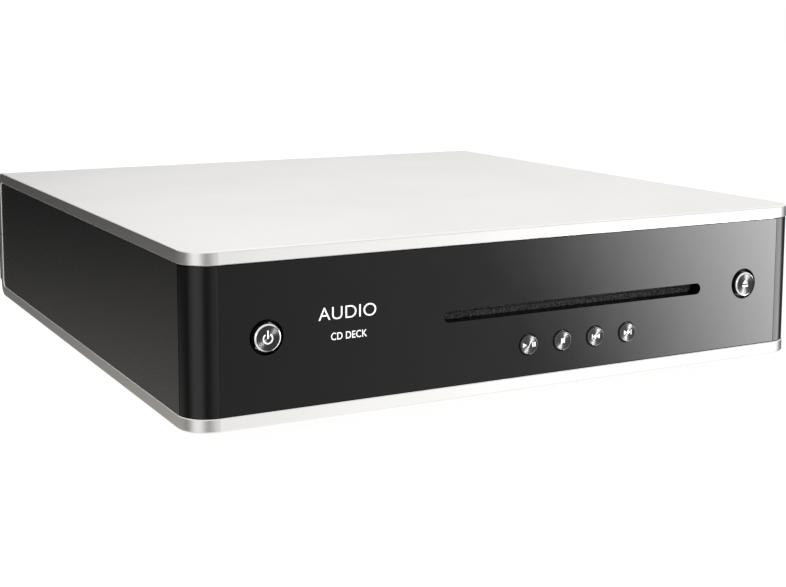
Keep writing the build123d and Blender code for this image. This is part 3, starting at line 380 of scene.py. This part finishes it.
def lettering(name, text, width, height, centre_x, base_z, thinner):
    """Flat printed words on the face plate, fitted to a width and a capital height."""
    curve = bpy.data.curves.new(name, "FONT")
    curve.body = text
    curve.align_x = "CENTER"
    curve.size = height / CAPITALS
    curve.offset = -thinner
    curve.extrude = INK
    curve.space_character = 1.04
    source = bpy.data.objects.new(name + "_source", curve)
    bpy.context.scene.collection.objects.link(source)
    bpy.context.view_layer.update()
    mesh = bpy.data.meshes.new_from_object(source.evaluated_get(bpy.context.evaluated_depsgraph_get()))
    bpy.data.objects.remove(source)
    xs = [v.co.x for v in mesh.vertices]
    fit = Matrix.Diagonal((width / (max(xs) - min(xs)), 1.0, 1.0, 1.0))
    mesh.transform(fit @ Matrix.Translation((-(max(xs) + min(xs)) / 2, 0, 0)))
    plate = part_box("front_glass")[0].y
    stand = Matrix.Rotation(math.pi / 2, 4, "X")
    mesh.transform(Matrix.Translation((centre_x, plate - INK, base_z)) @ stand)
    return add_mesh(name, mesh, GLOWING_PRINT, "case")


lettering("lettering_upper", "AUDIO", 23.4 * MM, 5.0 * MM, -78.4 * MM, 44.1 * MM, 0.05 * MM)
lettering("lettering_lower", "CD DECK", 14.6 * MM, 2.8 * MM, -77.8 * MM, 36.5 * MM, -0.02 * MM)


# ---- floor, background, light and camera --------------------------------------------------------------
def stage_mesh(name, mesh, mat):
    obj = bpy.data.objects.new(name, mesh)
    bpy.context.scene.collection.objects.link(obj)
    mesh.materials.append(mat)
    for kind in ("diffuse", "glossy", "transmission", "shadow"):
        setattr(obj, "visible_" + kind, False)
    return obj


def make_stage():
    radius = 9.0
    bm = bmesh.new()
    bmesh.ops.create_circle(bm, cap_ends=True, segments=96, radius=radius)
    disc = bpy.data.meshes.new("floor")
    bm.to_mesh(disc)
    bm.free()
    mat, t = material("pale_floor")
    fleck = noise(t, 30, detail=4)
    color = tone(t, fleck, (0.24, 0.24, 0.24), (0.27, 0.27, 0.27))
    surface(t, {"Base Color": color, "Roughness": 0.9, "Specular IOR Level": 0.0,
                "Emission Color": (1, 1, 1, 1), "Emission Strength": 0.86})
    stage_mesh("floor", disc, mat)

    bm = bmesh.new()
    bmesh.ops.create_uvsphere(bm, u_segments=64, v_segments=32, radius=radius)
    bmesh.ops.reverse_faces(bm, faces=bm.faces)
    dome = bpy.data.meshes.new("backdrop")
    bm.to_mesh(dome)
    bm.free()
    mat, t = material("backdrop")
    glow = t.add("Emission", {"Color": (1, 1, 1, 1), "Strength": 1.0})
    t.add("OutputMaterial", {"Surface": glow.outputs[0]})
    stage_mesh("backdrop", dome, mat)


def linked_card(name, mesh, level, t, mat, receivers):
    """A glowing card that only these nodes receive and that hides nothing."""
    glow = t.add("Emission", {"Color": (1, 1, 1, 1), "Strength": level})
    clear = t.add("BsdfTransparent")
    both = t.tree.nodes.new("ShaderNodeAddShader")
    t.tree.links.new(glow.outputs[0], both.inputs[0])
    t.tree.links.new(clear.outputs[0], both.inputs[1])
    t.add("OutputMaterial", {"Surface": both.outputs[0]})
    card = stage_mesh(name, mesh, mat)
    card.visible_glossy = True
    card.visible_camera = False
    only = bpy.data.collections.new(name + "_receivers")
    for receiver in receivers:
        only.objects.link(nodes[receiver])
    card.light_linking.receiver_collection = only


def make_graded_card(name, radius, top_level, receivers):
    """A light card at the front right whose level rises to the right and upwards.

    Each card needs a radius of its own, because a card hides another one that coincides with it.
    """
    bm = bmesh.new()
    columns = []
    for i in range(41):
        turn = math.radians(190.0 + i * 2.25)
        x, y = -math.sin(turn) * radius, math.cos(turn) * radius
        columns.append([bm.verts.new((x, y, 0.25 * j)) for j in range(-12, 13)])
    for left, right in zip(columns, columns[1:]):
        for k in range(len(left) - 1):
            bm.faces.new((left[k], right[k], right[k + 1], left[k + 1]))
    mesh = bpy.data.meshes.new(name)
    bm.to_mesh(mesh)
    bm.free()
    mat, t = material(name)
    azimuth, elevation, _ = direction_angles(t, t.add("TexCoord").outputs["Object"])
    slanted = t.math("ADD", azimuth, t.math("MULTIPLY", elevation, 0.49))
    level = t.math("MULTIPLY", window(t, slanted, 206.0, 228.0, 240.0, 262.0), top_level)
    linked_card(name, mesh, level, t, mat, receivers)


def make_button_light():
    """A round lamp at the front right that draws the streaks on the turned caps."""
    towards = Vector((0.737, -0.662, 0.139)).normalized()
    turn = towards.to_track_quat("Z", "Y").to_matrix().to_4x4()
    bm = bmesh.new()
    place = Matrix.Translation(towards * 2.6) @ turn
    bmesh.ops.create_circle(bm, cap_ends=True, segments=48, radius=0.34, matrix=place)
    mesh = bpy.data.meshes.new("button_light")
    bm.to_mesh(mesh)
    bm.free()
    mat, t = material("button_light")
    linked_card("button_light", mesh, 160.0, t, mat, list(SYMBOLS))


def make_rear_card():
    """A dark card low behind the player, that the rear of its top reflects."""
    mesh = bpy.data.meshes.new("rear_card")
    corners = [(-0.1, 0.5, -0.02), (1.6, 0.5, -0.02), (1.6, 0.5, 0.14), (-0.1, 0.5, 0.14)]
    mesh.from_pydata(corners, [], [(0, 1, 2, 3)])
    mat, t = material("rear_card")
    glow = t.add("Emission", {"Color": (1, 1, 1, 1), "Strength": 0.1})
    t.add("OutputMaterial", {"Surface": glow.outputs[0]})
    card = stage_mesh("rear_card", mesh, mat)
    card.visible_glossy = True
    card.visible_camera = False


def direction_angles(t, vector):
    """Azimuth and elevation in degrees; 0 rear, 90 left, 180 front, 270 right; and azimuth in -180..180."""
    unit = t.add("VectorMath", {0: vector}, operation="NORMALIZE").outputs[0]
    axis = t.add("SeparateXYZ", {0: unit}).outputs
    elevation = t.math("MULTIPLY", t.math("ARCSINE", axis["Z"]), 180 / math.pi)
    turn = t.math("ARCTAN2", t.math("MULTIPLY", axis["X"], -1.0), axis["Y"])
    from_rear = t.math("MULTIPLY", turn, 180 / math.pi)
    return t.math("MODULO", t.math("ADD", from_rear, 360.0), 360.0), elevation, from_rear


def window(t, value, low, low_full, high_full, high):
    """1 between the two full marks, falling smoothly to 0 outside."""
    return t.math("MULTIPLY", t.smooth(value, low, low_full), t.smooth(value, high_full, high, 1.0, 0.0))


def make_light():
    """A surround in smooth sectors: ceiling, dim rear left, strip at the left, low fills at the front."""
    world = bpy.data.worlds.new("studio")
    bpy.context.scene.world = world
    world.use_nodes = True
    t = Tree(world.node_tree)
    azimuth, elevation, azimuth_from_rear = direction_angles(t, t.add("TexCoord").outputs["Generated"])

    def times(*values):
        return reduce(lambda a, b: t.math("MULTIPLY", a, b), values)

    def total(*values):
        return reduce(lambda a, b: t.math("ADD", a, b), values)

    rear_left = window(t, azimuth_from_rear, -21.0, 8.0, 50.0, 85.0)
    elsewhere = t.math("SUBTRACT", 1.0, rear_left)
    rear_right = window(t, azimuth_from_rear, -100.0, -60.0, -8.0, 12.0)
    ceiling = times(t.smooth(elevation, 1.0, 17.0), t.linear(rear_right, 0.0, 1.0, 0.8, 1.13), elsewhere)
    high_ceiling = times(t.smooth(elevation, 9.0, 26.0), 0.8, rear_left)
    rear_floor = times(total(times(t.smooth(elevation, -6.0, -24.0), 0.6), 0.015), rear_left)
    floor_level = times(total(times(t.smooth(elevation, -16.0, -50.0), 0.85), 0.12), elsewhere)
    left_strip = times(window(t, azimuth, 80.0, 116.0, 129.0, 158.0),
                       window(t, elevation, -40.0, -14.0, 10.0, 30.0), 0.9)
    front_fill = times(window(t, azimuth, 148.0, 210.0, 230.0, 265.0),
                       window(t, elevation, -50.0, -20.0, -5.0, 9.0), 0.78)
    right_fill = times(window(t, azimuth, 196.0, 226.0, 245.0, 275.0),
                       window(t, elevation, -50.0, -20.0, -2.0, 10.0), 0.6)
    strength = total(ceiling, high_ceiling, rear_floor, floor_level, left_strip, front_fill, right_fill)
    low_left = times(rear_left, t.smooth(elevation, -4.0, -16.0))
    color = tone(t, low_left, (1.0, 0.995, 0.985), (1.0, 0.95, 0.90))
    background = t.add("Background", {"Color": color, "Strength": strength})
    t.add("OutputWorld", {"Surface": background.outputs[0]})


def make_camera():
    data = bpy.data.cameras.new("camera")
    data.lens = 63.88
    data.sensor_width = 36.0
    data.shift_y = -0.13
    data.clip_start, data.clip_end = 0.05, 50.0
    camera = bpy.data.objects.new("camera", data)
    bpy.context.scene.collection.objects.link(camera)
    turn = Matrix.Rotation(math.radians(-28.11), 4, "Z")
    tilt = Matrix.Rotation(math.radians(90.0 - 7.05), 4, "X")
    roll = Matrix.Rotation(math.radians(0.15), 4, "Z")
    place = Matrix.Translation(Vector((-299.1, -598.15, 152.4)) * MM)
    camera.matrix_world = place @ turn @ tilt @ roll
    bpy.context.scene.camera = camera


make_stage()
make_graded_card("graded_card_plate", 2.5, 23.5, ["front_glass"])
make_graded_card("graded_card_moulding", 2.7, 4.5, ["front_fascia"])
make_button_light()
make_rear_card()
make_light()
make_camera()
bpy.context.scene.view_settings.view_transform = "Standard"
